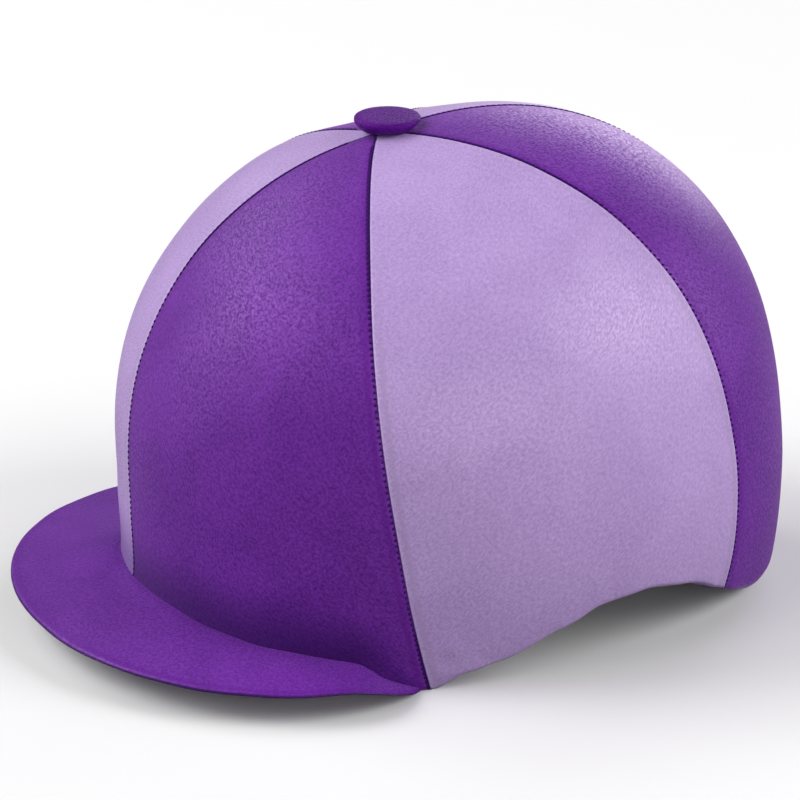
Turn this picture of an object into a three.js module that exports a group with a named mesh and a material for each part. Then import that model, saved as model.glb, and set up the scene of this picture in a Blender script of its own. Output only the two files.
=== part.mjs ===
// A jockey's cap cover in stretch satin: a crown of six gores in two colours, a soft peak, a
// covered button and a gathered elastic hem, standing on a table as it does when it isn't worn.
// Lengths are in millimetres and angles in degrees. The wearer faces -Y, their left side is +X
// and up is +Z. An angle round the crown is 0 at the front and grows towards the wearer's left.

import * as THREE from 'three';

const { degToRad, lerp, smoothstep, euclideanModulo } = THREE.MathUtils;

// Crown, in its own frame: the widest level is at zero and the apex straight above it
const crownHalfWidth = 110;
const crownFrontReach = 119.3;
const crownBackReach = 125.1;
const crownHeight = 116.1;
const crownPlanPower = 2.05;
const crownLeanAngle = 10.85;
const crownBaseHeight = 59.5;

// How the crown rounds off at its front, side and back: the power of its radius, the power of
// its height, and the share of its radius that it loses one tuckDepth below the widest level.
// The rounding of a narrow end gives way sooner to that of the side.
const crownRounding = {
  front: { radial: 2.24, vertical: 2.16, tuck: 0, narrowness: 1 },
  side: { radial: 1.86, vertical: 2.43, tuck: 0.158 },
  back: { radial: 2.31, vertical: 2.32, tuck: 0.047, narrowness: 3 },
};
const tuckDepth = 60;

// The forehead runs outwards below the widest level, at this slope and over this soft start
const browSlope = 0.3;
const browStart = 8;
const browEase = 10;

// Cloth, seams and the hole at the apex where the gores end under the button
const wallThickness = 1.6;
const seamGap = 0.3;
const apexHoleRadius = 2;

// Seams round the crown
const templeSeamAngle = 60.5;
const napeSeamAngle = 129;

// Hem: how far it arches up over the ear, how it turns under, and how hard its corners press
const earArch = 27.4;
const hemBelowPeak = 8;
const hemTurnRadius = 4;
const napeTurnRadius = 10;
const napeTurnFromAngle = 118;
const napeTurnToAngle = 158;
const hemReturn = 9;
const hemRiseAngle = 12;
const cornerPress = 0.6;

// Height of the hem behind the temple, as a share of earArch
const hemRows = [
  { angle: 60.5, rise: 0 },
  { angle: 65, rise: 0.09 },
  { angle: 70, rise: 0.18 },
  { angle: 75, rise: 0.3 },
  { angle: 82.5, rise: 0.535 },
  { angle: 90, rise: 0.765 },
  { angle: 97.5, rise: 0.965 },
  { angle: 103, rise: 1 },
  { angle: 106.5, rise: 0.965 },
  { angle: 114.5, rise: 0.845 },
  { angle: 121, rise: 0.69 },
  { angle: 125, rise: 0.55 },
  { angle: 129, rise: 0.41 },
  { angle: 135, rise: 0.24 },
  { angle: 142, rise: 0.09 },
  { angle: 150, rise: 0 },
  { angle: 180, rise: 0 },
];

// Gathered band that holds the elastic, at the hem's inner edge
const bandWidth = 5;
const bandThickness = 3;
const bandGathers = 32;
const gatherDepth = 0.5;

// Peak: a padded crescent sewn to the forehead along its crease
const peakReach = 38;
const peakSpreadAngle = 57;
const peakLengthPower = 3.1;
const peakWidthPower = 2.03;
const peakTipWidth = 1.2;
const peakThickness = 3;
const peakTipThickness = 1.5;
const peakCreaseHeight = 18.9;
const peakEdgeHeight = 14.3;
const peakEdgeDrop = 4;
const peakCamber = 1;
const peakSeat = 0.3;

// Height of the crease between crown and peak, as a share of peakCreaseHeight
const creaseRows = [
  { angle: 0, rise: 1 },
  { angle: 7.5, rise: 1 },
  { angle: 15.5, rise: 0.96 },
  { angle: 22.5, rise: 0.89 },
  { angle: 28, rise: 0.825 },
  { angle: 33.5, rise: 0.77 },
  { angle: 40, rise: 0.745 },
  { angle: 45, rise: 0.7 },
  { angle: 50, rise: 0.63 },
  { angle: 52, rise: 0.51 },
  { angle: 53.5, rise: 0.36 },
  { angle: 55, rise: 0.27 },
  { angle: 57, rise: 0.165 },
  { angle: 60.5, rise: 0.05 },
];

// Across the peak, from its crease to its edge: how far, and its share of the full thickness
const peakRows = [
  { across: 0, fullness: 1 },
  { across: 0.2, fullness: 1 },
  { across: 0.42, fullness: 1 },
  { across: 0.64, fullness: 1 },
  { across: 0.84, fullness: 0.98 },
  { across: 0.95, fullness: 0.82 },
  { across: 1, fullness: 0.35 },
];

// Button: a flat covered disc with rounded edges
const buttonRadius = 11.8;
const buttonHeight = 6.5;
const buttonSeat = 0.3;

// Section of the button as shares of its radius and height, from the middle of its underside
const buttonRows = [
  { out: 0, up: 0 },
  { out: 0.45, up: 0 },
  { out: 0.9, up: 0 },
  { out: 0.98, up: 0.12 },
  { out: 1, up: 0.35 },
  { out: 0.99, up: 0.6 },
  { out: 0.93, up: 0.8 },
  { out: 0.82, up: 0.9 },
  { out: 0.5, up: 0.98 },
  { out: 0, up: 1 },
];

// Fineness of the meshes
const goreStep = 5.2;
const domeRows = 15;
const wallRows = 4;
const turnRows = 6;
const solveRounds = 8;
const bandSides = 6;
const columnsPerGather = 3;
const peakColumns = 40;
const buttonSides = 36;

const purpleSatin = new THREE.MeshStandardMaterial({ color: 0x6b2a9c, roughness: 0.5, metalness: 0 });
const lilacSatin = new THREE.MeshStandardMaterial({ color: 0xa98fcc, roughness: 0.5, metalness: 0 });
const hemElastic = new THREE.MeshStandardMaterial({ color: 0x4a1c70, roughness: 0.7, metalness: 0 });

const lean = degToRad(crownLeanAngle);
const upInCrown = new THREE.Vector3(0, Math.sin(lean), Math.cos(lean));
const sideways = new THREE.Vector3(1, 0, 0);

// The same angle on the left half, between 0 at the front and 180 at the back
function foldedAngle(angle) {
  return Math.abs(euclideanModulo(angle + 180, 360) - 180);
}

function roundingEnd(angle) {
  return Math.cos(degToRad(angle)) > 0 ? crownRounding.front : crownRounding.back;
}

// The power of the dome's radius or height, which changes from the side to the front or back
function domePower(angle, column) {
  const end = roundingEnd(angle);
  const share = Math.cos(degToRad(angle)) ** (2 * end.narrowness);
  return lerp(crownRounding.side[column], end[column], share);
}

// The share of its radius that the wall loses, which changes from the side to the front or back
function tuckAt(angle) {
  return lerp(crownRounding.side.tuck, roundingEnd(angle).tuck, Math.cos(degToRad(angle)) ** 2);
}

// Reads a column of a table at an angle, by a smooth curve that never swings past its rows
function readRows(rows, angle, column) {
  const last = rows.length - 1;
  const slopes = rows.slice(1).map((row, i) => {
    return (row[column] - rows[i][column]) / (row.angle - rows[i].angle);
  });
  const tangentAt = (i) => {
    if (i === 0 || i === last || slopes[i - 1] * slopes[i] <= 0) {
      return 0;
    }
    return (2 * slopes[i - 1] * slopes[i]) / (slopes[i - 1] + slopes[i]);
  };
  const clamped = Math.min(Math.max(angle, rows[0].angle), rows[last].angle);
  const from = Math.min(rows.findLastIndex((row) => row.angle <= clamped), last - 1);
  const span = rows[from + 1].angle - rows[from].angle;
  const t = (clamped - rows[from].angle) / span;
  const ease = t * t * (3 - 2 * t);
  const bend = t * (1 - t) * ((1 - t) * tangentAt(from) - t * tangentAt(from + 1)) * span;
  return lerp(rows[from][column], rows[from + 1][column], ease) + bend;
}

// Radius of the crown at its widest level
function planRadius(angle) {
  const reach = Math.cos(degToRad(angle)) > 0 ? crownFrontReach : crownBackReach;
  const side = Math.abs(Math.sin(degToRad(angle)) / crownHalfWidth) ** crownPlanPower;
  const end = Math.abs(Math.cos(degToRad(angle)) / reach) ** crownPlanPower;
  return (side + end) ** (-1 / crownPlanPower);
}

// How far the forehead stands out at a level of the crown
function browAt(angle, level) {
  const ahead = Math.max(Math.cos(degToRad(angle)), 0);
  const below = (Math.hypot(level - browStart, browEase) - (level - browStart)) / 2;
  return browSlope * ahead * ahead * below;
}

// A point of the upper crown in its meridian plane, where turn is 0 at the apex and 90 at the
// widest level. x is the radius and y the level.
function domePoint(angle, turn) {
  const share = Math.sin(degToRad(turn));
  const level = crownHeight * Math.max(Math.cos(degToRad(turn)), 0) ** (2 / domePower(angle, 'vertical'));
  const radius = planRadius(angle) * share ** (2 / domePower(angle, 'radial'));
  return new THREE.Vector2(radius + browAt(angle, level) * share, level);
}

// Radius of the crown's wall below its widest level
function wallRadius(angle, level) {
  const tuck = tuckAt(angle) * (level / tuckDepth) ** 2;
  return planRadius(angle) * (1 - tuck) + browAt(angle, level);
}

// The crown's level at a radius near the apex
function domeLevel(angle, radius) {
  const share = Math.min((radius / planRadius(angle)) ** (domePower(angle, 'radial') / 2), 1);
  return crownHeight * Math.sqrt(1 - share * share) ** (2 / domePower(angle, 'vertical'));
}

// A meridian point as a point of the crown's frame
function crownPoint(angle, flat) {
  return new THREE.Vector3(flat.x * Math.sin(degToRad(angle)), -flat.x * Math.cos(degToRad(angle)), flat.y);
}

function crownToTable(point) {
  return point.clone().applyAxisAngle(sideways, lean).add(new THREE.Vector3(0, 0, crownBaseHeight));
}

function tableHeight(point) {
  return point.dot(upInCrown) + crownBaseHeight;
}

// Cloth that would hang below the table is flattened on it
function restOnTable(point) {
  return point.addScaledVector(upInCrown, Math.max(-tableHeight(point), 0));
}

function creaseHeight(angle) {
  return peakCreaseHeight * readRows(creaseRows, foldedAngle(angle), 'rise');
}

// Height of the hem's lowest line above the table
function hemHeight(angle) {
  const folded = foldedAngle(angle);
  if (folded < templeSeamAngle) {
    return Math.max(creaseHeight(folded) - hemBelowPeak, -cornerPress);
  }
  return earArch * readRows(hemRows, folded, 'rise') - cornerPress;
}

// The turn of the hem under the rim: its centre and radius, where it leaves the wall, and its end,
// from which the cloth rises at the same slope above the table all the way round
function hemTurn(angle) {
  const nape = smoothstep(foldedAngle(angle), napeTurnFromAngle, napeTurnToAngle);
  const radius = lerp(hemTurnRadius, napeTurnRadius, nape);
  const end = -degToRad(90 + hemRiseAngle - crownLeanAngle * Math.cos(degToRad(angle)));
  const turn = { radius, level: 0, start: 0, end, centre: new THREE.Vector2() };
  for (let round = 0; round < solveRounds; round += 1) {
    const slope = wallRadius(angle, turn.level + 0.5) - wallRadius(angle, turn.level - 0.5);
    turn.start = Math.atan(-slope);
    turn.centre.set(wallRadius(angle, turn.level), turn.level);
    turn.centre.x -= radius * Math.cos(turn.start);
    turn.centre.y -= radius * Math.sin(turn.start);
    turn.level += hemHeight(angle) + radius - tableHeight(crownPoint(angle, turn.centre));
  }
  return turn;
}

// The hem's last stretch, from the end of its turn inwards: its start and direction
function hemFlap(turn) {
  const start = new THREE.Vector2(Math.cos(turn.end), Math.sin(turn.end));
  const direction = new THREE.Vector2(Math.sin(turn.end), -Math.cos(turn.end));
  return { start: start.multiplyScalar(turn.radius).add(turn.centre), direction };
}

// The outside of the cover in one meridian plane, from the apex down and round under the rim
function outerMeridian(angle) {
  const points = [];
  const apexShare = (apexHoleRadius / planRadius(angle)) ** (domePower(angle, 'radial') / 2);
  const apexTurn = THREE.MathUtils.radToDeg(Math.asin(apexShare));
  for (let row = 0; row <= domeRows; row += 1) {
    points.push(domePoint(angle, lerp(apexTurn, 90, row / domeRows)));
  }
  const turn = hemTurn(angle);
  for (let row = 1; row < wallRows; row += 1) {
    const level = turn.level * (row / wallRows);
    points.push(new THREE.Vector2(wallRadius(angle, level), level));
  }
  for (let row = 0; row <= turnRows; row += 1) {
    const direction = lerp(turn.start, turn.end, row / turnRows);
    const arm = new THREE.Vector2(Math.cos(direction), Math.sin(direction));
    points.push(arm.multiplyScalar(turn.radius).add(turn.centre));
  }
  const flap = hemFlap(turn);
  points.push(flap.start.clone().addScaledVector(flap.direction, hemReturn));
  return points;
}

// The inside of the same cloth, one wall thickness in
function innerMeridian(outer) {
  return outer.map((point, i) => {
    const before = outer[Math.max(i - 1, 0)];
    const after = outer[Math.min(i + 1, outer.length - 1)];
    const along = after.clone().sub(before).normalize();
    return new THREE.Vector2(along.y, -along.x).multiplyScalar(wallThickness).add(point);
  });
}

// One gore between two seams, as columns of points on one face of the cloth
function goreGrid(gore, meridianAt) {
  const columns = Math.round((gore.to - gore.from) / goreStep);
  const grid = [];
  for (let column = 0; column <= columns; column += 1) {
    const share = column / columns;
    const angle = lerp(gore.from, gore.to, share);
    grid.push(meridianAt(angle).map((flat) => {
      const clear = THREE.MathUtils.radToDeg(Math.asin(seamGap / 2 / flat.x));
      return restOnTable(crownPoint(angle + clear * (1 - 2 * share), flat));
    }));
  }
  return grid;
}

// Two matching grids of points, the faces of one sheet, closed round their edges into a solid.
// A grid holds columns from left to right as seen from outside, each from its top down.
function sheetGeometry(front, back) {
  const columns = front.length;
  const rows = front[0].length;
  const at = (side, column, row) => (side * columns + column) * rows + row;
  const index = [];
  const quad = (a, b, c, d) => index.push(a, b, c, a, c, d);
  for (let i = 0; i < columns - 1; i += 1) {
    for (let j = 0; j < rows - 1; j += 1) {
      quad(at(0, i, j), at(0, i, j + 1), at(0, i + 1, j + 1), at(0, i + 1, j));
      quad(at(1, i, j), at(1, i + 1, j), at(1, i + 1, j + 1), at(1, i, j + 1));
    }
    quad(at(0, i, 0), at(0, i + 1, 0), at(1, i + 1, 0), at(1, i, 0));
    quad(at(0, i, rows - 1), at(1, i, rows - 1), at(1, i + 1, rows - 1), at(0, i + 1, rows - 1));
  }
  for (let j = 0; j < rows - 1; j += 1) {
    const end = columns - 1;
    quad(at(0, 0, j), at(1, 0, j), at(1, 0, j + 1), at(0, 0, j + 1));
    quad(at(0, end, j), at(0, end, j + 1), at(1, end, j + 1), at(1, end, j));
  }
  return indexedGeometry([...front.flat(), ...back.flat()], index);
}

// A ring of sections, each a closed loop of points, joined all the way round
function ringGeometry(sections) {
  const sides = sections[0].length;
  const at = (i, j) => (i % sections.length) * sides + (j % sides);
  const index = [];
  for (let i = 0; i < sections.length; i += 1) {
    for (let j = 0; j < sides; j += 1) {
      index.push(at(i, j), at(i, j + 1), at(i + 1, j + 1), at(i, j), at(i + 1, j + 1), at(i + 1, j));
    }
  }
  return indexedGeometry(sections.flat(), index);
}

function indexedGeometry(points, index) {
  const geometry = new THREE.BufferGeometry().setFromPoints(points);
  geometry.setIndex(index);
  geometry.computeVertexNormals();
  return geometry;
}

function gorePanel(gore) {
  const outer = goreGrid(gore, outerMeridian);
  const inner = goreGrid(gore, (angle) => innerMeridian(outerMeridian(angle)));
  return sheetGeometry(outer, inner);
}

// The elastic's casing: a flat oval section carried on from the hem's flap, thick and thin in turn
function hemBand() {
  const columns = bandGathers * columnsPerGather;
  const sections = [];
  for (let column = 0; column < columns; column += 1) {
    const angle = (360 * column) / columns;
    const flap = hemFlap(hemTurn(angle));
    const upward = new THREE.Vector2(flap.direction.y, -flap.direction.x);
    const middle = flap.start.clone().addScaledVector(flap.direction, hemReturn + seamGap + bandWidth / 2);
    middle.addScaledVector(upward, wallThickness / 2);
    const gather = gatherDepth * Math.cos((2 * Math.PI * column) / columnsPerGather);
    const section = [];
    for (let side = 0; side < bandSides; side += 1) {
      const around = Math.PI / 2 - (2 * Math.PI * side) / bandSides;
      const corner = middle.clone().addScaledVector(flap.direction, (-bandWidth / 2) * Math.cos(around));
      corner.addScaledVector(upward, (bandThickness / 2 + gather) * Math.sin(around));
      section.push(restOnTable(crownPoint(angle, corner)));
    }
    sections.push(section);
  }
  return ringGeometry(sections);
}

// The point of the crown's outside at a height above the table, moved out by the peak's seat
function peakRoot(angle, height) {
  let level = 0;
  for (let round = 0; round < solveRounds; round += 1) {
    const point = crownPoint(angle, new THREE.Vector2(wallRadius(angle, level), level));
    level += height - tableHeight(point);
  }
  const root = crownToTable(crownPoint(angle, new THREE.Vector2(wallRadius(angle, level), level)));
  return root.addScaledVector(peakOutward(angle), peakSeat);
}

// Level direction in which the peak stands out from the crown
function peakOutward(angle) {
  const across = Math.sin(degToRad(angle)) / crownHalfWidth;
  const ahead = Math.cos(degToRad(angle)) / crownFrontReach;
  return new THREE.Vector3(across, -ahead, 0).normalize();
}

// One section across the peak, from its crease to its edge, on its top or underside
function peakSection(along, isTop) {
  const angle = peakSpreadAngle * along;
  const end = Math.abs(along);
  const outline = Math.max(1 - end ** peakLengthPower, 0) ** (1 / peakWidthPower);
  const width = Math.max(peakReach * outline, peakTipWidth);
  const thickness = lerp(peakThickness, peakTipThickness, end ** 4);
  const crease = creaseHeight(angle);
  const edge = lerp(peakEdgeHeight - peakEdgeDrop * end * end, crease, end ** 8);
  const root = peakRoot(angle, isTop ? crease : crease - thickness);
  return peakRows.map((row) => {
    const camber = 4 * peakCamber * row.across * (1 - row.across) * outline;
    const middle = lerp(crease, edge, row.across) + camber - thickness / 2;
    const point = root.clone().addScaledVector(peakOutward(angle), width * row.across);
    return point.setZ(middle + (isTop ? 0.5 : -0.5) * thickness * row.fullness);
  });
}

function peakGeometry() {
  const top = [];
  const underside = [];
  for (let column = 0; column <= peakColumns; column += 1) {
    const along = Math.sin(lerp(-Math.PI / 2, Math.PI / 2, column / peakColumns));
    top.push(peakSection(along, true));
    underside.push(peakSection(along, false));
  }
  return sheetGeometry(top, underside);
}

// Height of the crown above the button's level base, at a place beside its middle
function crownUnderButton(x, y, apex) {
  let height = 0;
  for (let round = 0; round < solveRounds; round += 1) {
    const point = new THREE.Vector3(x, apex.y + y, apex.z + height - crownBaseHeight);
    point.applyAxisAngle(sideways, -lean);
    const angle = THREE.MathUtils.radToDeg(Math.atan2(point.x, -point.y));
    height += domeLevel(angle, Math.hypot(point.x, point.y)) - point.z;
  }
  return height;
}

// The button sits level, so its back sinks towards the leaning crown and follows it
function buttonGeometry(apex) {
  const section = buttonRows.map((row) => new THREE.Vector2(row.out * buttonRadius, row.up * buttonHeight));
  const geometry = new THREE.LatheGeometry(section, buttonSides).rotateX(Math.PI / 2);
  const place = geometry.getAttribute('position');
  for (let i = 0; i < place.count; i += 1) {
    const crown = crownUnderButton(place.getX(i), place.getY(i), apex) + buttonSeat;
    place.setZ(i, lerp(Math.max(crown, 0), buttonHeight, place.getZ(i) / buttonHeight));
  }
  geometry.computeVertexNormals();
  return geometry;
}

function namedMesh(name, geometry, material) {
  const mesh = new THREE.Mesh(geometry, material);
  mesh.name = name;
  return mesh;
}

const gores = [
  { name: 'panel_left_front', from: 0, to: templeSeamAngle, cloth: purpleSatin },
  { name: 'panel_left_side', from: templeSeamAngle, to: napeSeamAngle, cloth: lilacSatin },
  { name: 'panel_left_back', from: napeSeamAngle, to: 180, cloth: purpleSatin },
  { name: 'panel_right_back', from: 180, to: 360 - napeSeamAngle, cloth: lilacSatin },
  { name: 'panel_right_side', from: 360 - napeSeamAngle, to: 360 - templeSeamAngle, cloth: purpleSatin },
  { name: 'panel_right_front', from: 360 - templeSeamAngle, to: 360, cloth: lilacSatin },
];

const crown = new THREE.Group();
crown.rotation.x = lean;
crown.position.z = crownBaseHeight;
gores.forEach((gore) => crown.add(namedMesh(gore.name, gorePanel(gore), gore.cloth)));
crown.add(namedMesh('hem_band', hemBand(), hemElastic));

const apex = crownToTable(new THREE.Vector3(0, 0, crownHeight));
const button = namedMesh('top_button', buttonGeometry(apex), purpleSatin);
button.position.copy(apex);

const cover = new THREE.Group();
cover.add(crown, namedMesh('peak', peakGeometry(), purpleSatin), button);

// The origin is under the middle of the whole cover, on the table
const centre = new THREE.Box3().setFromObject(cover, true).getCenter(new THREE.Vector3());
cover.position.set(-centre.x, -centre.y, 0);

const cap = new THREE.Group();
cap.add(cover);

export default cap;
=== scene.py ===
"""A jockey's cap cover in stretch satin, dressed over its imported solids: six gores in purple and
lilac, a soft peak, a covered button and a gathered hem. Shapes are worked out in millimetres in
the crown's own frame and placed in metres. An angle round the crown is 0 at the front and grows
towards the wearer's left."""
import math
from collections import namedtuple

import bmesh
import bpy
from mathutils import Matrix, Vector, noise


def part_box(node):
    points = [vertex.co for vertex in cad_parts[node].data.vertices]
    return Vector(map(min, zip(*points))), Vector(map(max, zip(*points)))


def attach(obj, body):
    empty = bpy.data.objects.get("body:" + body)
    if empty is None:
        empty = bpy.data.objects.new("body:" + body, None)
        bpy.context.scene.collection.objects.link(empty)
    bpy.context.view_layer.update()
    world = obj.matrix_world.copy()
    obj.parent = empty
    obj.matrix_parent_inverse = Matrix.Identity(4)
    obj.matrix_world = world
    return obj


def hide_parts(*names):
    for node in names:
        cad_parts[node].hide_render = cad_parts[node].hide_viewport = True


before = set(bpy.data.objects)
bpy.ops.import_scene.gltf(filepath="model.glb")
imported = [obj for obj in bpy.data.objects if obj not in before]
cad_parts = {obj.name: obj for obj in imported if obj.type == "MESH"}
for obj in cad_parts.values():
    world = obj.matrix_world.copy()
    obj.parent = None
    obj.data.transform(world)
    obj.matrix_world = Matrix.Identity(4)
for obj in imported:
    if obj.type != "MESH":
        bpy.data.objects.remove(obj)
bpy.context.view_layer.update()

MM = 0.001

# The crown, as in the solid model, in millimetres and degrees
CROWN_HALF_WIDTH = 110.0
CROWN_FRONT_REACH = 119.3
CROWN_BACK_REACH = 125.1
CROWN_HEIGHT = 116.1
CROWN_PLAN_POWER = 2.05
CROWN_BASE_HEIGHT = 59.5
CROWN_LEAN = 10.85

Rounding = namedtuple("Rounding", "radial vertical tuck narrowness")
FRONT_ROUNDING = Rounding(2.24, 2.16, 0.0, 1)
SIDE_ROUNDING = Rounding(1.86, 2.43, 0.158, 1)
BACK_ROUNDING = Rounding(2.31, 2.32, 0.047, 3)
TUCK_DEPTH = 60.0
BROW_SLOPE = 0.3
BROW_START = 8.0
BROW_EASE = 10.0

TEMPLE_SEAM = 60.5
NAPE_SEAM = 129.8
EAR_ARCH = 27.4
HEM_BELOW_PEAK = 8.0
HEM_TURN_RADIUS = 4.0
NAPE_TURN_RADIUS = 10.0
NAPE_TURN_FROM = 124.0
NAPE_TURN_TO = 158.0
HEM_RETURN = 9.3
HEM_RISE = 12.0
HEM_LOWEST_SHARE = 0.8
CORNER_PRESS = 0.6
BAND_WIDTH = 5.0
BAND_THICKNESS = 3.0
BAND_SLACK = 0.25
BAND_WRINKLE = 0.18
BAND_WRINKLES = 5
BAND_COLUMN_CLOTH = 1.7

# Height of the hem behind the temple at each angle, as a share of EAR_ARCH
HEM_ROWS = (
    (60.5, 0), (62.2, 0.02), (63.5, 0.07), (65, 0.14), (67, 0.21), (70, 0.245), (75, 0.33),
    (82.5, 0.545), (90, 0.765), (97.5, 0.965), (103, 1), (106.5, 1), (114.5, 0.91), (121, 0.77),
    (125, 0.63), (130, 0.47), (135, 0.33), (142, 0.16), (150, 0.03), (156, 0), (180, 0),
)

# The peak
PEAK_REACH = 38.0
PEAK_SPREAD = 58.8
PEAK_LENGTH_POWER = 3.1
PEAK_WIDTH_POWER = 2.03
PEAK_TIP_WIDTH = 1.2
PEAK_THICKNESS = 3.0
PEAK_TIP_THICKNESS = 1.5
PEAK_TOP_THINNING = 0.35
PEAK_UNDER_THINNING = 0.55
PEAK_RIM_ROUNDING = 0.9
PEAK_CREASE_HEIGHT = 18.9
PEAK_EDGE_HEIGHT = 13.9
PEAK_EDGE_DROP = 2.8
PEAK_CAMBER = 0.7
PEAK_TIP_THINNING_POWER = 4
PEAK_EDGE_POWER = 12
PEAK_THINNING_FROM = 0.2
PEAK_ROOT_SINK = 3.2
PEAK_ROOT_DIP = 0.5
PEAK_ROOT_DIP_PLACE = 2.2
PEAK_ROOT_DIP_WIDTH = 1.2
PEAK_RIM_PINCH = 0.22
PEAK_RIM_PINCH_TURN = 38.0
PEAK_RIM_PINCH_SPREAD = 14.0
# Beyond the seam round the rim, this much of the peak's underside is painted fully dark as shade
PEAK_SHADED_UNDER_EDGE = 2.0
PEAK_UNEVENNESS = 0.35
PEAK_UNEVENNESS_SIZE = 17.0
PEAK_LINING_SHIFT = 200

# Height of the crease between crown and peak at each angle, as a share of PEAK_CREASE_HEIGHT
CREASE_ROWS = (
    (0, 1), (7.5, 1), (15.5, 0.96), (22.5, 0.89), (28, 0.825), (33.5, 0.77), (40, 0.745),
    (45, 0.7), (50, 0.63), (52, 0.51), (53.5, 0.36), (55, 0.27), (57, 0.165), (60.5, 0.05),
)

# The button, with its section as shares of its radius and height, from the middle underneath
BUTTON_RADIUS = 11.8
BUTTON_HEIGHT = 5.3
BUTTON_ROWS = (
    (0, 0), (0.4, 0), (0.78, 0), (0.82, 0.08), (0.855, 0.2), (0.9, 0.31), (0.945, 0.41),
    (0.98, 0.52), (0.997, 0.64), (1, 0.74), (0.995, 0.82), (0.975, 0.89), (0.94, 0.94),
    (0.89, 0.967), (0.78, 0.982), (0.5, 0.994), (0, 1),
)
BUTTON_TIP = 3.5
BUTTON_TIP_AXIS = (0.378, 0.926, 0.0)
BUTTON_TIP_FROM = 0.4
BUTTON_CLEARANCE = 0.1
BUTTON_PLEATS = 22
BUTTON_PLEAT_DEPTH = 0.16
BUTTON_PLEAT_TOP = 0.5
BUTTON_CLOTH_DROP = 8
BUTTON_DOUBLES_GAP = 0.01

# Cloth: how thick it is, how uneven it lies, and its gathers and folds along the hem
CLOTH_THICKNESS = 1.1
APEX_HOLE = 0.5
GORE_MEETING = 3.5
GORE_MEETING_REACH = 85.0
SEAM_DRIFT_SPREAD = 40.0
NAPE_FOOT_DRIFT = 1.5
NAPE_FOOT_HEIGHT = 7.0
SHOULDER_LIFT = 2.2
SHOULDER_ANGLE = 308.0
SHOULDER_SPREAD = 55.0
SHOULDER_RADIUS = 50.0
SHOULDER_REACH = 42.0
# Painted shade on the crown's cloth just above the peak's crease: the height it reaches, and the
# angle over which it fades out before the temple seam
CREASE_SHADE_HEIGHT = 26.0
CREASE_SHADE_FADE = 10.0
UNEVENNESS = 0.22
UNEVENNESS_SIZE = 24.0
FOREHEAD_TUCK = 2.0
FOREHEAD_TUCK_HEIGHT = 26.0
FOREHEAD_TUCK_END = 60.8
FOREHEAD_TUCK_FADE = 38.0
GATHERS = 32
GATHER_DEPTH = 0.75
GATHER_TOP = 13.0
GATHER_FULL_FROM = -12.0
GATHER_DRIFT = 1.5
GATHER_DRIFT_RATE = 3.1
GATHER_STRENGTH = 0.65
GATHER_STRENGTH_SWING = 0.55
GATHER_STRENGTH_RATE = 6.7
GATHER_STRENGTH_OFFSET = Vector((5.0, 0.0, 0.0))
GATHER_SHARPNESS = 0.25

# How far two seams drift round the crown, in degrees, at distances from its apex
SEAM_DRIFTS = (
    (180.0, ((0, 8), (20, 8), (45, 7), (80, 3), (112, 0), (140, 0))),
    (299.5, ((0, -7), (20, -6), (45, -2), (65, 0), (140, 0))),
)

# How the cloth lies beside a seam: distance from it, and height over the gore's true surface.
# The lilac cloth is folded back along its edge, and the purple sinks under it.
LILAC_EDGE = (
    (0, -0.5), (0.2, -0.2), (0.45, -0.02), (0.8, 0.05), (1.3, 0.06), (2.1, 0.03), (3.2, 0), (7, 0),
)
PURPLE_EDGE = (
    (0, -0.5), (0.35, -0.42), (0.7, -0.3), (1.1, -0.16), (1.7, -0.05), (2.6, 0.0), (3.6, 0.03),
    (6, 0),
)

# The stitches lie beside each seam, on its purple side. A pair holds the value near the button
# and the one lower down, and the change takes a fade's length from STITCH_CHANGE_RUN on
STITCH_PITCH = 2.12
STITCH_LEVEL = -0.12
STITCH_OFFSET = 0.62
STITCH_START = 1.0
STITCH_CHANGE_RUN = 60.0
STITCH_SLANTS = (0.25, 0.8)
STITCH_SLANT_FADE = 60.0
STITCH_LENGTHS = (1.5, 0.55)
STITCH_LENGTH_FADE = 50.0
STITCH_HALF_WIDTH = 0.45
STITCH_HALF_HEIGHT = 0.4

# Small folds in the cloth by the hem, on each half: from an angle and a height over the rim to
# another, with a width and a height, which is negative for a crease
FOLD_ROWS = (
    (50.5, 12.0, 56.0, 6.0, 1.3, 1.2),
    (52.5, 8.5, 57.5, 3.5, 1.2, -0.8),
    (54.5, 15.0, 59.0, 8.0, 1.6, 0.45),
    (62.5, 17.0, 65.5, 9.0, 1.1, -0.32),
    (64.5, 21.0, 68.0, 12.0, 1.2, 0.3),
    (62.0, 9.0, 66.0, 4.0, 1.0, 0.3),
    (70.0, 10.0, 73.0, 3.0, 1.4, -0.3),
    (126.2, 7.0, 127.4, 1.0, 0.9, -0.45),
    (127.3, 8.0, 127.9, 2.0, 0.7, 0.3),
    (124.0, 9.0, 126.0, 1.5, 1.1, 0.28),
    (131.5, 9.0, 131.0, 0.0, 1.2, -0.4),
)
FOLD_SPREAD = 8.0
FOLD_TOP = 30.0
FOLD_END_TAPER = 0.12

# Fineness of the meshes. Columns stand closest together beside a seam, at these distances
SEAM_COLUMNS = (0, 0.2, 0.45, 0.7, 1.0, 1.4, 1.9, 2.6, 3.6, 5.0, 6.8)
COLUMN_STEP = 1.1
DOME_ROWS = 84
WALL_ROWS = 30
TURN_ROWS = 12
FLAP_ROWS = 7
SOLVE_ROUNDS = 8
COLUMNS_PER_GATHER = 12
BAND_SIDES = 16
BUTTON_SIDES = 96
PEAK_COLUMNS = 150
PEAK_TOP_ROWS = 26
PEAK_RIM_ROWS = 12
PEAK_UNDER_ROWS = 14
PEAK_SEAM_ROW = PEAK_TOP_ROWS + PEAK_RIM_ROWS // 2
DOUBLES_GAP = 0.001

LEAN = math.radians(CROWN_LEAN)
button_low, button_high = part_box("top_button")
COVER_SHIFT = (button_low.y + button_high.y) / 2 / MM + CROWN_HEIGHT * math.sin(LEAN)


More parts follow.
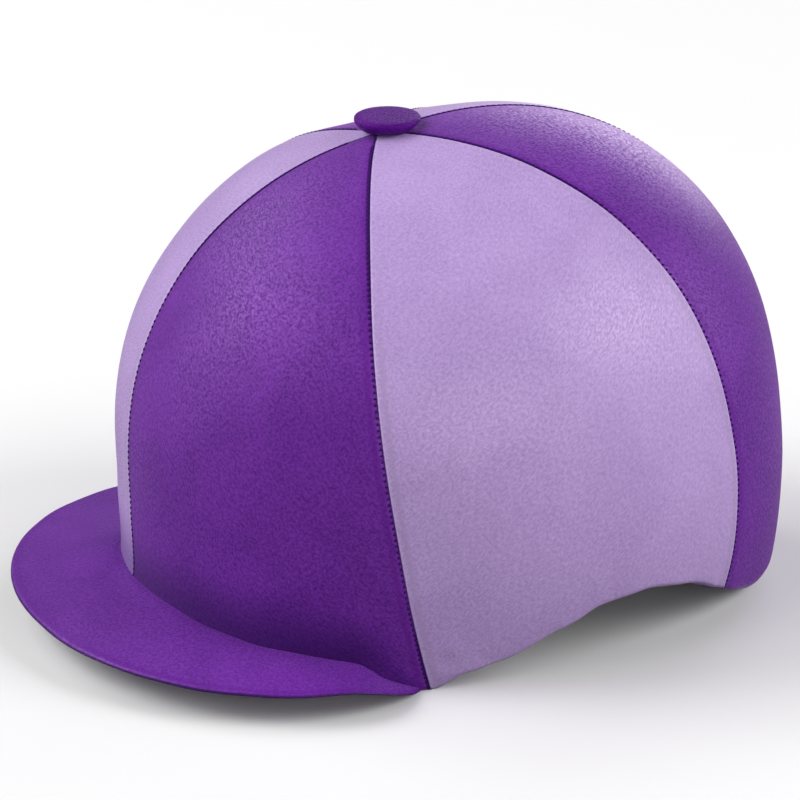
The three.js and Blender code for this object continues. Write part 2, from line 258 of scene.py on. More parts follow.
def lerp(a, b, share):
    return a + (b - a) * share


def ease(share):
    share = min(max(share, 0.0), 1.0)
    return share * share * (3 - 2 * share)


def folded(angle):
    """The same angle on the left half, between 0 at the front and 180 at the back."""
    return abs((angle + 180) % 360 - 180)


def read_rows(rows, place):
    """A table's second column at a place, by a smooth curve that never swings past its rows."""
    last = len(rows) - 1
    slopes = [(b[1] - a[1]) / (b[0] - a[0]) for a, b in zip(rows, rows[1:])]

    def tangent(i):
        if i in (0, last) or slopes[i - 1] * slopes[i] <= 0:
            return 0.0
        return 2 * slopes[i - 1] * slopes[i] / (slopes[i - 1] + slopes[i])

    place = min(max(place, rows[0][0]), rows[last][0])
    start = min(max(i for i in range(last + 1) if rows[i][0] <= place), last - 1)
    span = rows[start + 1][0] - rows[start][0]
    share = (place - rows[start][0]) / span
    bend = (1 - share) * tangent(start) - share * tangent(start + 1)
    return lerp(rows[start][1], rows[start + 1][1], ease(share)) + share * (1 - share) * bend * span


# The crown's form

def crown_end(angle):
    return FRONT_ROUNDING if math.cos(math.radians(angle)) > 0 else BACK_ROUNDING


def dome_power(angle, column):
    end = crown_end(angle)
    share = math.cos(math.radians(angle)) ** (2 * end.narrowness)
    return lerp(getattr(SIDE_ROUNDING, column), getattr(end, column), share)


def plan_radius(angle):
    """Radius of the crown at its widest level."""
    turn = math.radians(angle)
    reach = CROWN_FRONT_REACH if math.cos(turn) > 0 else CROWN_BACK_REACH
    side = abs(math.sin(turn) / CROWN_HALF_WIDTH) ** CROWN_PLAN_POWER
    end = abs(math.cos(turn) / reach) ** CROWN_PLAN_POWER
    return (side + end) ** (-1 / CROWN_PLAN_POWER)


def brow(angle, level):
    """How far the forehead stands out at a level of the crown."""
    ahead = max(math.cos(math.radians(angle)), 0.0)
    below = (math.hypot(level - BROW_START, BROW_EASE) - (level - BROW_START)) / 2
    return BROW_SLOPE * ahead * ahead * below


def dome_point(angle, turn):
    """Radius and level of the upper crown. The turn is 0 at the apex and 90 at the widest level."""
    share = math.sin(math.radians(turn))
    drop = max(math.cos(math.radians(turn)), 0.0)
    level = CROWN_HEIGHT * drop ** (2 / dome_power(angle, "vertical"))
    radius = plan_radius(angle) * share ** (2 / dome_power(angle, "radial"))
    return radius + brow(angle, level) * share, level


def dome_level(angle, radius):
    """The crown's level at a radius near the apex."""
    share = min((radius / plan_radius(angle)) ** (dome_power(angle, "radial") / 2), 1.0)
    return CROWN_HEIGHT * math.sqrt(1 - share * share) ** (2 / dome_power(angle, "vertical"))


def wall_radius(angle, level):
    """Radius of the crown's wall below its widest level."""
    side_share = math.cos(math.radians(angle)) ** 2
    tuck = lerp(SIDE_ROUNDING.tuck, crown_end(angle).tuck, side_share)
    return plan_radius(angle) * (1 - tuck * (level / TUCK_DEPTH) ** 2) + brow(angle, level)


def place_on_crown(angle, radius, level):
    """A point of the crown in the part's frame, in millimetres."""
    turn = math.radians(angle)
    ahead = -radius * math.cos(turn)
    y = ahead * math.cos(LEAN) - level * math.sin(LEAN) + COVER_SHIFT
    z = ahead * math.sin(LEAN) + level * math.cos(LEAN) + CROWN_BASE_HEIGHT
    return Vector((radius * math.sin(turn), y, z))


def crease_height(angle):
    return PEAK_CREASE_HEIGHT * read_rows(CREASE_ROWS, folded(angle))


def hem_height(angle):
    """Height of the hem's lowest line above the table."""
    if folded(angle) < TEMPLE_SEAM:
        return max(crease_height(angle) - HEM_BELOW_PEAK, -CORNER_PRESS)
    return EAR_ARCH * read_rows(HEM_ROWS, folded(angle)) - CORNER_PRESS


HemTurn = namedtuple("HemTurn", "centre_radius centre_level radius level start end")


def hem_turn(angle):
    """The turn of the hem under the rim: its centre and radius, its start on the wall, its end."""
    nape = ease((folded(angle) - NAPE_TURN_FROM) / (NAPE_TURN_TO - NAPE_TURN_FROM))
    radius = lerp(HEM_TURN_RADIUS, NAPE_TURN_RADIUS, nape)
    end = -math.radians(90 + HEM_RISE - CROWN_LEAN * math.cos(math.radians(angle)))
    level = 0.0
    for _ in range(SOLVE_ROUNDS):
        slope = wall_radius(angle, level + 0.5) - wall_radius(angle, level - 0.5)
        start = math.atan(-slope)
        across = wall_radius(angle, level) - radius * math.cos(start)
        centre = level - radius * math.sin(start)
        level += hem_height(angle) + radius - place_on_crown(angle, across, centre).z
    return HemTurn(across, centre, radius, level, start, end)


# One place on a meridian of the crown: where it is, which way is out, the length of cloth down
# to it, and how much cloth lies between it and the rim's lowest line
Spot = namedtuple("Spot", "radius level out_radius out_level run above_rim")


def meridian(angle):
    """The outside of the cloth at one angle, from the apex down and round under the rim."""
    share = (APEX_HOLE / plan_radius(angle)) ** (dome_power(angle, "radial") / 2)
    apex_turn = math.degrees(math.asin(share))
    turn = hem_turn(angle)
    points = [dome_point(angle, lerp(apex_turn, 90, i / DOME_ROWS)) for i in range(DOME_ROWS + 1)]
    for i in range(1, WALL_ROWS):
        level = turn.level * i / WALL_ROWS
        points.append((wall_radius(angle, level), level))
    for i in range(TURN_ROWS + 1):
        way = lerp(turn.start, turn.end, i / TURN_ROWS)
        points.append((turn.centre_radius + turn.radius * math.cos(way),
                       turn.centre_level + turn.radius * math.sin(way)))
    flap_radius, flap_level = points[-1]
    for i in range(1, FLAP_ROWS + 1):
        along = HEM_RETURN * i / FLAP_ROWS
        points.append((flap_radius + along * math.sin(turn.end),
                       flap_level - along * math.cos(turn.end)))
    runs = [0.0]
    for before, after in zip(points, points[1:]):
        runs.append(runs[-1] + math.dist(before, after))
    rim = runs[DOME_ROWS + WALL_ROWS + round(TURN_ROWS * HEM_LOWEST_SHARE)]
    spots = []
    for i, (radius, level) in enumerate(points):
        before, after = points[max(i - 1, 0)], points[min(i + 1, len(points) - 1)]
        length = math.dist(before, after)
        out = (before[1] - after[1]) / length, (after[0] - before[0]) / length
        spots.append(Spot(radius, level, *out, runs[i], rim - runs[i]))
    return spots


# How the cloth lies on the crown

def gather_wave(angle):
    """From -1 to 1 round the hem: one swell for each gather, none quite like the next."""
    turn = math.radians(angle)
    ring = Vector((math.sin(turn), math.cos(turn), 0.0))
    swing = GATHERS * turn + GATHER_DRIFT * noise.noise(ring * GATHER_DRIFT_RATE)
    strength = GATHER_STRENGTH + GATHER_STRENGTH_SWING * noise.noise(
        ring * GATHER_STRENGTH_RATE + GATHER_STRENGTH_OFFSET)
    return strength * (math.cos(swing) - GATHER_SHARPNESS * math.cos(2 * swing))


def fold_lift(angle, spot):
    """Height of the small folds by the hem at a spot."""
    along = math.radians(folded(angle)) * spot.radius
    lift = 0.0
    for angle_a, above_a, angle_b, above_b, width, height in FOLD_ROWS:
        far = abs(folded(angle) - (angle_a + angle_b) / 2) > FOLD_SPREAD
        if far or spot.above_rim > FOLD_TOP:
            continue
        start = Vector((math.radians(angle_a) * spot.radius, above_a))
        stretch = Vector((math.radians(angle_b) * spot.radius, above_b)) - start
        offset = Vector((along, spot.above_rim)) - start
        share = min(max(offset.dot(stretch) / stretch.length_squared, 0.0), 1.0)
        gap = (offset - stretch * share).length
        taper = math.sin(math.pi * lerp(FOLD_END_TAPER, 1 - FOLD_END_TAPER, share))
        lift += height * taper * math.exp(-(gap / width) ** 2)
    return lift


def drawn_aside(angle, spot):
    """Where a spot really lies: seams drift, and the gores meet ahead of the crown's apex."""
    drift = sum(read_rows(rows, spot.radius) * ease(1 - abs(angle - seam) / SEAM_DRIFT_SPREAD)
                for seam, rows in SEAM_DRIFTS)
    foot = ease(1 - abs(folded(angle) - NAPE_SEAM) / SEAM_DRIFT_SPREAD)
    foot *= NAPE_FOOT_DRIFT * ease(1 - abs(spot.above_rim) / NAPE_FOOT_HEIGHT)
    drift += foot if angle < 180 else -foot
    radius = spot.radius * plan_radius(angle + drift) / plan_radius(angle)
    angle += drift
    share = ease(1 - radius / GORE_MEETING_REACH)
    if share <= 0 or spot.level <= 0:
        return angle, radius, spot.level
    turn = math.radians(angle)
    across, ahead = radius * math.sin(turn), radius * math.cos(turn) + GORE_MEETING * share
    new_angle, new_radius = math.degrees(math.atan2(across, ahead)), math.hypot(across, ahead)
    level = spot.level + dome_level(new_angle, new_radius) - dome_level(angle, radius)
    return new_angle, new_radius, level


def shoulder_lift(angle, spot):
    """How far the cloth stands off over the crown's right front shoulder."""
    across = ease(1 - abs(angle - SHOULDER_ANGLE) / SHOULDER_SPREAD)
    return SHOULDER_LIFT * across * ease(1 - abs(spot.radius - SHOULDER_RADIUS) / SHOULDER_REACH)


def forehead_tuck(angle, even):
    """How far the cloth is drawn in just above the peak."""
    above = even.z - crease_height(angle)
    across = ease((FOREHEAD_TUCK_END - folded(angle)) / FOREHEAD_TUCK_FADE)
    return FOREHEAD_TUCK * across * ease(1 - abs(above) / FOREHEAD_TUCK_HEIGHT)


def cloth_place(angle, spot, edge_lift):
    """A spot of the cloth in the part's frame, with its unevenness, gathers and folds."""
    lie_angle, radius, level = drawn_aside(angle, spot)
    even = place_on_crown(lie_angle, radius, level)
    gathered = ease((GATHER_TOP - spot.above_rim) / (GATHER_TOP - GATHER_FULL_FROM))
    lift = edge_lift + UNEVENNESS * noise.noise(even / UNEVENNESS_SIZE)
    lift += GATHER_DEPTH * gather_wave(angle) * gathered - forehead_tuck(angle, even)
    lift += fold_lift(angle, spot) + (shoulder_lift(angle, spot) if spot.level > 0 else 0.0)
    place = place_on_crown(
        lie_angle, radius + lift * spot.out_radius, level + lift * spot.out_level)
    place.z = max(place.z, 0.0)
    return place


def gore_angles(start, stop):
    """Angles of a gore's columns, which stand closest together along its two seams."""
    near = [math.degrees(reach / CROWN_HALF_WIDTH) for reach in SEAM_COLUMNS]
    middle = round((stop - start - 2 * near[-1]) / COLUMN_STEP)
    inner = [lerp(start + near[-1], stop - near[-1], i / middle) for i in range(1, middle)]
    return [start + step for step in near] + inner + [stop - step for step in reversed(near)]


def new_piece(name, bm, materials, node=None):
    """Puts a finished mesh into the scene, riding on the cap."""
    mesh = bpy.data.meshes.new(name)
    bmesh.ops.transform(bm, matrix=Matrix.Scale(MM, 4), verts=bm.verts)
    bm.to_mesh(mesh)
    bm.free()
    mesh.shade_smooth()
    for material in materials:
        mesh.materials.append(material)
    piece = bpy.data.objects.new(name, mesh)
    bpy.context.scene.collection.objects.link(piece)
    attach(piece, "root")
    if node:
        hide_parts(node)
    return piece


def write_cloth_map(bm, cloth_at):
    """Gives the faces the cloth's own map, in millimetres of cloth."""
    layer = bm.loops.layers.uv.new("cloth")
    for face in bm.faces:
        for loop in face.loops:
            loop[layer].uv = cloth_at[loop.vert]


def make_gore(name, node, start, stop, edge_rows, materials, slot):
    """One gore between two seams, as a thin sheet with its edges turned down into the seams."""
    angles = gore_angles(start, stop)
    strands = [meridian(angle) for angle in angles]
    middle = (start + stop) / 2
    rows = len(strands[0])
    bm = bmesh.new()
    bmesh.ops.create_grid(bm, x_segments=len(angles) - 1, y_segments=rows - 1, size=0.5)
    reach_layer = bm.verts.layers.float.new("seam_reach")
    run_layer = bm.verts.layers.float.new("seam_run")
    hem_layer = bm.verts.layers.float.new("hem_reach")
    crease_layer = bm.verts.layers.float.new("crease_shade")
    cloth_at = {}
    for vert in bm.verts:
        column = round((vert.co.x + 0.5) * (len(angles) - 1))
        row = round((0.5 - vert.co.y) * (rows - 1))
        angle, spot = angles[column], strands[column][row]
        to_start, to_stop = angle - start, stop - angle
        reach = math.radians(min(to_start, to_stop)) * spot.radius
        vert.co = cloth_place(angle, spot, read_rows(edge_rows, reach))
        vert[reach_layer] = reach
        vert[run_layer] = strands[0 if to_start < to_stop else -1][row].run
        vert[hem_layer] = spot.above_rim
        # Painted shade: how dark the cloth is painted just above the peak's crease
        above_crease = max(vert.co.z - crease_height(angle), 0.0)
        vert[crease_layer] = (ease(1 - above_crease / CREASE_SHADE_HEIGHT)
                              * ease((TEMPLE_SEAM - folded(angle)) / CREASE_SHADE_FADE))
        cloth_at[vert] = (math.radians(angle - middle) * spot.radius, -spot.run)
    write_cloth_map(bm, cloth_at)
    piece = new_piece(name, bm, materials, node)
    wall = piece.modifiers.new("cloth thickness", "SOLIDIFY")
    wall.thickness = CLOTH_THICKNESS * MM
    wall.offset = -1
    wall.material_offset = 1
    return piece


def make_stitches(name, angle, side, material):
    """The thread along one seam: a short slanted stitch at each pitch, on the purple side."""
    strand = meridian(angle)
    bm = bmesh.new()
    run = BUTTON_RADIUS + STITCH_START
    row = 0
    while run < strand[DOME_ROWS + WALL_ROWS + TURN_ROWS].run:
        while strand[row + 1].run < run:
            row += 1
        share = (run - strand[row].run) / (strand[row + 1].run - strand[row].run)
        spot = Spot(*[lerp(a, b, share) for a, b in zip(strand[row], strand[row + 1])])
        step = math.degrees(STITCH_OFFSET / spot.radius) * side
        middle = cloth_place(angle + step, spot, STITCH_LEVEL)
        across = cloth_place(angle + 2 * step, spot, STITCH_LEVEL)
        across -= cloth_place(angle, spot, STITCH_LEVEL)
        along = cloth_place(angle + step, strand[row + 1], STITCH_LEVEL) - middle
        along.normalize()
        across.normalize()
        slanted = ease((run - STITCH_CHANGE_RUN) / STITCH_SLANT_FADE)
        slant = (lerp(*STITCH_SLANTS, slanted) * across + along).normalized()
        out = slant.cross(across).normalized()
        turn = Matrix((slant, out.cross(slant), out)).transposed().to_4x4()
        shortened = ease((run - STITCH_CHANGE_RUN) / STITCH_LENGTH_FADE)
        length = lerp(*STITCH_LENGTHS, shortened)
        size = Matrix.Diagonal((length, STITCH_HALF_WIDTH, STITCH_HALF_HEIGHT, 1.0))
        bmesh.ops.create_uvsphere(bm, u_segments=8, v_segments=5, radius=1.0,
                                  matrix=Matrix.Translation(middle) @ turn @ size)
        run += STITCH_PITCH
    for vert in bm.verts:
        vert.co.z = max(vert.co.z, 0.0)
    bmesh.ops.recalc_face_normals(bm, faces=bm.faces)
    return new_piece(name, bm, [material])


# Hem band, peak and button

def make_hem_band(material):
    """The gathered casing of the elastic, a flat oval ring at the hem's inner edge."""
    columns, sides = GATHERS * COLUMNS_PER_GATHER, BAND_SIDES
    bm = bmesh.new()
    bmesh.ops.create_grid(bm, x_segments=columns, y_segments=sides, size=0.5)
    rings = [(360 * i / columns, hem_turn(360 * i / columns)) for i in range(columns)]
    cloth_at = {}
    for vert in bm.verts:
        column = round((vert.co.x + 0.5) * columns)
        angle, turn = rings[column % columns]
        around = 2 * math.pi * round((0.5 - vert.co.y) * sides) / sides
        inward = Vector((math.sin(turn.end), -math.cos(turn.end)))
        upward = Vector((-math.cos(turn.end), -math.sin(turn.end)))
        middle = Vector((turn.centre_radius, turn.centre_level)) - upward * turn.radius
        middle += inward * (HEM_RETURN + BAND_WIDTH / 2) + upward * CLOTH_THICKNESS / 2
        wrinkle = BAND_WRINKLE * math.cos(BAND_WRINKLES * around + GATHERS * math.radians(angle))
        gather = GATHER_DEPTH * gather_wave(angle)
        half = BAND_THICKNESS / 2 - BAND_SLACK + wrinkle
        corner = middle + inward * (-BAND_WIDTH / 2 * math.cos(around))
        corner += upward * (half * math.sin(around) - gather)
        vert.co = place_on_crown(angle, *corner)
        vert.co.z = max(vert.co.z, 0.0)
        cloth_at[vert] = (column * BAND_COLUMN_CLOTH, around * BAND_WIDTH / 2)
    write_cloth_map(bm, cloth_at)
    bmesh.ops.remove_doubles(bm, verts=bm.verts, dist=DOUBLES_GAP)
    bmesh.ops.recalc_face_normals(bm, faces=bm.faces)
    return new_piece("hem_casing", bm, [material], "hem_band")


def peak_outward(angle):
    """Level direction in which the peak stands out from the crown."""
    turn = math.radians(angle)
    across, ahead = math.sin(turn) / CROWN_HALF_WIDTH, math.cos(turn) / CROWN_FRONT_REACH
    return Vector((across, -ahead, 0)).normalized()


def crown_at_height(angle, height):
    """The point of the crown's outside at a height above the table."""
    level = 0.0
    for _ in range(SOLVE_ROUNDS):
        level += height - place_on_crown(angle, wall_radius(angle, level), level).z
    return place_on_crown(angle, wall_radius(angle, level), level)


def peak_section(along):
    """One section across the peak: points down its top, round its rim and back underneath, each
    with its distance from the seam round the rim."""
    angle, end = PEAK_SPREAD * along, abs(along)
    outline = max(1 - end ** PEAK_LENGTH_POWER, 0.0) ** (1 / PEAK_WIDTH_POWER)
    width = max(PEAK_REACH * outline, PEAK_TIP_WIDTH)
    thickness = lerp(PEAK_THICKNESS, PEAK_TIP_THICKNESS, end ** PEAK_TIP_THINNING_POWER)
    crease = crease_height(angle)
    edge = PEAK_EDGE_HEIGHT - PEAK_EDGE_DROP * end * end
    edge = lerp(edge, crease, end ** PEAK_EDGE_POWER)
    outward = peak_outward(angle)
    rim = min(PEAK_RIM_ROUNDING, width / 2)
    flat = width - rim

    def lie(out, above):
        share = min(max(out / width, 0.0), 1.0)
        camber = 4 * PEAK_CAMBER * share * (1 - share) * outline
        thinning = PEAK_TOP_THINNING if above > 0 else PEAK_UNDER_THINNING
        above *= 1 - thinning * ease((share - PEAK_THINNING_FROM) / (1 - PEAK_THINNING_FROM))
        height = lerp(crease, edge, share) + camber - thickness / 2 + above
        point = crown_at_height(angle, height) + outward * out
        point.z = height
        return point

    path = []
    for i in range(PEAK_TOP_ROWS):
        out = lerp(-PEAK_ROOT_SINK, flat, i / PEAK_TOP_ROWS)
        dip = PEAK_ROOT_DIP * math.exp(-((out + PEAK_ROOT_DIP_PLACE) / PEAK_ROOT_DIP_WIDTH) ** 2)
        path.append((out, thickness / 2 - dip))
    for i in range(PEAK_RIM_ROWS + 1):
        way = math.pi * (0.5 - i / PEAK_RIM_ROWS)
        from_pinch = (math.degrees(way) + PEAK_RIM_PINCH_TURN) / PEAK_RIM_PINCH_SPREAD
        pinch = 1 - PEAK_RIM_PINCH * math.exp(-from_pinch ** 2)
        path.append((flat + rim * math.cos(way) * pinch, thickness / 2 * math.sin(way) * pinch))
    for i in range(1, PEAK_UNDER_ROWS + 1):
        path.append((lerp(flat, -PEAK_ROOT_SINK, i / PEAK_UNDER_ROWS), -thickness / 2))
    path.append(path[0])
    section = []
    for row, step in enumerate(path):
        reach = math.dist(step, path[PEAK_SEAM_ROW])
        # The seam's dark reaches further under the rim, as painted shade on the peak's underside
        if row >= PEAK_SEAM_ROW:
            reach = max(reach - PEAK_SHADED_UNDER_EDGE, 0.0)
        section.append((lie(*step), reach))
    return section


def make_peak(materials):
    """The soft peak, sewn to the forehead along its crease and hemmed round its edge."""
    bm = bmesh.new()
    sections, along_edge = [], [0.0]
    for i in range(PEAK_COLUMNS + 1):
        sweep = lerp(-math.pi / 2, math.pi / 2, i / PEAK_COLUMNS)
        sections.append(peak_section(math.sin(sweep)))
    for before, after in zip(sections, sections[1:]):
        step = after[PEAK_TOP_ROWS][0] - before[PEAK_TOP_ROWS][0]
        along_edge.append(along_edge[-1] + step.length)
    rows = len(sections[0])
    bmesh.ops.create_grid(bm, x_segments=PEAK_COLUMNS, y_segments=rows - 1, size=0.5)
    reach_layer = bm.verts.layers.float.new("seam_reach")
    run_layer = bm.verts.layers.float.new("seam_run")
    cloth_at = {}
    for vert in bm.verts:
        column = round((vert.co.x + 0.5) * PEAK_COLUMNS)
        row = round((0.5 - vert.co.y) * (rows - 1))
        point, reach = sections[column][row]
        swell = PEAK_UNEVENNESS * noise.noise(point / PEAK_UNEVENNESS_SIZE)
        vert.co = point + Vector((0, 0, swell))
        vert[reach_layer] = reach
        vert[run_layer] = along_edge[column]
        side = 1 if row < PEAK_SEAM_ROW else -1
        cloth_at[vert] = (point.x, point.y + side * PEAK_LINING_SHIFT)
    write_cloth_map(bm, cloth_at)
    bmesh.ops.remove_doubles(bm, verts=bm.verts, dist=DOUBLES_GAP)
    bmesh.ops.holes_fill(bm, edges=[edge for edge in bm.edges if edge.is_boundary], sides=0)
    bmesh.ops.recalc_face_normals(bm, faces=bm.faces)
    return new_piece("satin_peak", bm, materials, "peak")


def crown_under_button(x, y, apex):
    """Height of the crown over the button's level base, beside its middle."""
    height = 0.0
    for _ in range(SOLVE_ROUNDS):
        point = Matrix.Rotation(-LEAN, 3, "X") @ Vector(
            (x, apex.y - COVER_SHIFT + y, apex.z + height - CROWN_BASE_HEIGHT))
        angle = math.degrees(math.atan2(point.x, -point.y))
        height += dome_level(angle, math.hypot(point.x, point.y)) - point.z
    return height


def make_button(material):
    """The covered button on the leaning crown, with its cloth pleated in underneath."""
    apex = place_on_crown(0.0, 0.0, CROWN_HEIGHT)
    bm = bmesh.new()
    profile = [bm.verts.new((out * BUTTON_RADIUS, 0, up * BUTTON_HEIGHT))
               for out, up in BUTTON_ROWS]
    edges = [bm.edges.new(pair) for pair in zip(profile, profile[1:])]
    bmesh.ops.spin(bm, geom=profile + edges, axis=(0, 0, 1), angle=2 * math.pi,
                   steps=BUTTON_SIDES, use_merge=True)
    bmesh.ops.remove_doubles(bm, verts=bm.verts, dist=BUTTON_DOUBLES_GAP)
    bmesh.ops.recalc_face_normals(bm, faces=bm.faces)
    tip = Matrix.Rotation(math.radians(BUTTON_TIP), 3, BUTTON_TIP_AXIS)
    cloth_at = {}
    for vert in bm.verts:
        share = vert.co.z / BUTTON_HEIGHT
        cloth_at[vert] = (vert.co.x, vert.co.y - BUTTON_CLOTH_DROP * (1 - share))
        out = math.hypot(vert.co.x, vert.co.y)
        around = math.atan2(vert.co.y, vert.co.x)
        pleat = BUTTON_PLEAT_DEPTH * math.cos(BUTTON_PLEATS * around + 2 * math.sin(3 * around))
        pleat *= ease(1 - share / BUTTON_PLEAT_TOP) * ease(out / BUTTON_RADIUS * 2 - 1)
        crown = crown_under_button(vert.co.x, vert.co.y, apex)
        vert.co.z = lerp(max(crown, 0.0) + BUTTON_CLEARANCE, BUTTON_HEIGHT, share)
        vert.co.xy *= 1 + pleat / BUTTON_RADIUS
        vert.co = vert.co.lerp(tip @ vert.co, ease(share / BUTTON_TIP_FROM)) + apex
    write_cloth_map(bm, cloth_at)
    return new_piece("covered_button", bm, [material], "top_button")


# Shader groups, which put out masks and heights that change over the surface

def feed(tree, socket, value):
    """Links a socket to another, or sets its value."""
    if isinstance(value, bpy.types.NodeSocket):
        tree.links.new(value, socket)
    elif value is not None:
        socket.default_value = value


def add_node(tree, kind, inputs=(), **settings):
    node = tree.nodes.new(kind)
    for name, value in settings.items():
        setattr(node, name, value)
    for key, value in dict(inputs).items():
        feed(tree, node.inputs[key], value)
    return node


def add_math(tree, operation, a, b=None, clamp=False):
    node = add_node(tree, "ShaderNodeMath", operation=operation, use_clamp=clamp)
    feed(tree, node.inputs[0], a)
    feed(tree, node.inputs[1], b)
    return node.outputs[0]


def add_range(tree, value, low, high, to_low=0.0, to_high=1.0):
    """Carries a value smoothly from one range to another."""
    node = add_node(tree, "ShaderNodeMapRange", interpolation_type="SMOOTHSTEP", inputs={
        "Value": value, "From Min": low, "From Max": high, "To Min": to_low, "To Max": to_high})
    return node.outputs["Result"]


def add_mix(tree, share, a, b, blend="MIX"):
    node = add_node(tree, "ShaderNodeMix", data_type="RGBA", blend_type=blend)
    feed(tree, node.inputs["Factor"], share)
    feed(tree, node.inputs[6], a)
    feed(tree, node.inputs[7], b)
    return node.outputs[2]


def new_group(name, inputs, outputs):
    """An empty shader group with named inputs and outputs, each of a kind and a value."""
    tree = bpy.data.node_groups.new(name, "ShaderNodeTree")
    for label, (kind, value) in inputs.items():
        socket = tree.interface.new_socket(label, in_out="INPUT", socket_type=kind)
        if value is not None:
            socket.default_value = value
    for label in outputs:
        tree.interface.new_socket(label, in_out="OUTPUT", socket_type="NodeSocketFloat")
    given = tree.nodes.new("NodeGroupInput").outputs
    out = tree.nodes.new("NodeGroupOutput").inputs
    return tree, given, out


FLOAT, VECTOR = "NodeSocketFloat", "NodeSocketVector"


def knit_group():
    """Satin knit: short flecks of light, slanted over the cloth, on a fine uneven mottle."""
    tree, given, out = new_group("satin knit", {
        "Cloth": (VECTOR, None), "Loop Size": (FLOAT, 0.8), "Slant": (FLOAT, 0.5),
        "Stretch": (FLOAT, 2.0)}, ("Fleck", "Height"))
    turned = add_node(tree, "ShaderNodeVectorRotate", rotation_type="Z_AXIS", inputs={
        "Vector": given["Cloth"], "Angle": given["Slant"]})
    narrow = add_node(tree, "ShaderNodeCombineXYZ", inputs={
        "X": add_math(tree, "DIVIDE", 1.0, given["Stretch"]), "Y": 1.0, "Z": 1.0})
    pulled = add_node(tree, "ShaderNodeVectorMath", operation="MULTIPLY", inputs={
        0: turned.outputs[0], 1: narrow.outputs[0]})
    scale = add_math(tree, "DIVIDE", 1.0, given["Loop Size"])
    flecks = add_node(tree, "ShaderNodeTexNoise", inputs={
        "Vector": pulled.outputs[0], "Scale": scale, "Detail": 2.0, "Roughness": 0.6,
        "Distortion": 0.1})
    mottle = add_node(tree, "ShaderNodeTexNoise", inputs={
        "Vector": given["Cloth"], "Scale": add_math(tree, "MULTIPLY", scale, 0.5),
        "Detail": 3.0, "Roughness": 0.7, "Distortion": 0.4})
    fleck = add_range(tree, flecks.outputs["Fac"], 0.36, 0.64)
    soft = add_range(tree, mottle.outputs["Fac"], 0.34, 0.66)
    mixed = add_math(tree, "ADD", add_math(tree, "MULTIPLY", fleck, 0.6),
                     add_math(tree, "MULTIPLY", soft, 0.4))
    feed(tree, out["Fleck"], mixed)
    feed(tree, out["Height"], mixed)
    return tree


def seam_group():
    """The line of a seam: a dark ditch, which is painted shade of its groove together with the dark
    stitching; a pale folded rim, which is a painted highlight; a greyish ridge; and the pull of
    each stitch.
    """
    tree, given, out = new_group("seam line", {
        "Reach": (FLOAT, None), "Run": (FLOAT, None), "Ditch Width": (FLOAT, 1.0),
        "Rim Width": (FLOAT, 1.0), "Bite": (FLOAT, 0.4), "Pitch": (FLOAT, STITCH_PITCH)},
        ("Ditch", "Rim", "Pull", "Ridge"))
    beat = add_math(tree, "MULTIPLY", add_math(tree, "DIVIDE", given["Run"], given["Pitch"]),
                    2 * math.pi)
    swing = add_math(tree, "MULTIPLY", add_math(tree, "COSINE", beat), 0.5)
    pull = add_math(tree, "ADD", swing, 0.5)
    bite = add_math(tree, "MULTIPLY", add_math(tree, "SUBTRACT", pull, 0.5), given["Bite"])
    width = add_math(tree, "MULTIPLY", given["Ditch Width"], add_math(tree, "ADD", bite, 1.0))
    # Painted shade of the seam's groove together with the dark stitching, darkest at the seam
    ditch = add_range(tree, add_math(tree, "DIVIDE", given["Reach"], width), 0.6, 1.25, 1.0, 0.0)
    # Painted highlight: a pale rim just beyond the ditch, along the folded edge
    beside = add_math(tree, "DIVIDE", add_math(tree, "SUBTRACT", given["Reach"], width),
                      given["Rim Width"])
    rim = add_math(tree, "MULTIPLY", add_range(tree, beside, -0.2, 0.2),
                   add_range(tree, beside, 0.4, 0.9, 1.0, 0.0))
    near = add_range(tree, given["Reach"], 1.6, 3.0, 1.0, 0.0)
    slack = add_range(tree, given["Run"], 60.0, 130.0, 0.2, 1.0)
    ridge = add_math(tree, "MULTIPLY", add_range(tree, given["Reach"], 1.2, 2.2),
                     add_range(tree, given["Reach"], 2.8, 4.6, 1.0, 0.0))
    ridge = add_math(tree, "MULTIPLY", ridge, slack)
    feed(tree, out["Ditch"], ditch)
    feed(tree, out["Rim"], add_math(tree, "MULTIPLY", rim, slack))
    feed(tree, out["Pull"], add_math(tree, "MULTIPLY", pull, near))
    feed(tree, out["Ridge"], ridge)
    return tree


def handling_group():
    """Broad soft patches where the cloth has been handled and stretched."""
    tree, given, out = new_group("handled cloth", {
        "Place": (VECTOR, None), "Patch Size": (FLOAT, 0.03)}, ("Patch",))
    patches = add_node(tree, "ShaderNodeTexNoise", inputs={
        "Vector": given["Place"], "Scale": add_math(tree, "DIVIDE", 1.0, given["Patch Size"]),
        "Detail": 3.0, "Roughness": 0.55, "Distortion": 0.5})
    feed(tree, out["Patch"], add_range(tree, patches.outputs["Fac"], 0.3, 0.7))
    return tree


KNIT, SEAM, HANDLING = knit_group(), seam_group(), handling_group()

# A satin's colours, with the dark that fills the seams' ditches and the painted shade by the crease
# and the rolled hem, and the pale painted highlight of a folded seam edge; how its knit runs, and
# how it shines
Satin = namedtuple("Satin", (
    "dark light deep grey rim rim_share gloss slant stretch loop roughness sheen knit_depth"))


def new_material(name):
    material = bpy.data.materials.new(name)
    material.use_nodes = True
    tree = material.node_tree
    return material, tree, tree.nodes["Principled BSDF"]


def place_group(tree, group, inputs):
    return add_node(tree, "ShaderNodeGroup", inputs, node_tree=group).outputs


def read_attribute(tree, name):
    return add_node(tree, "ShaderNodeAttribute", attribute_name=name).outputs["Fac"]


# How much each effect shows in the satin, from 0 to 1
FLECK_SHARE = 0.78
PATCH_SHARE = 0.22
RIDGE_SHARE = 0.5
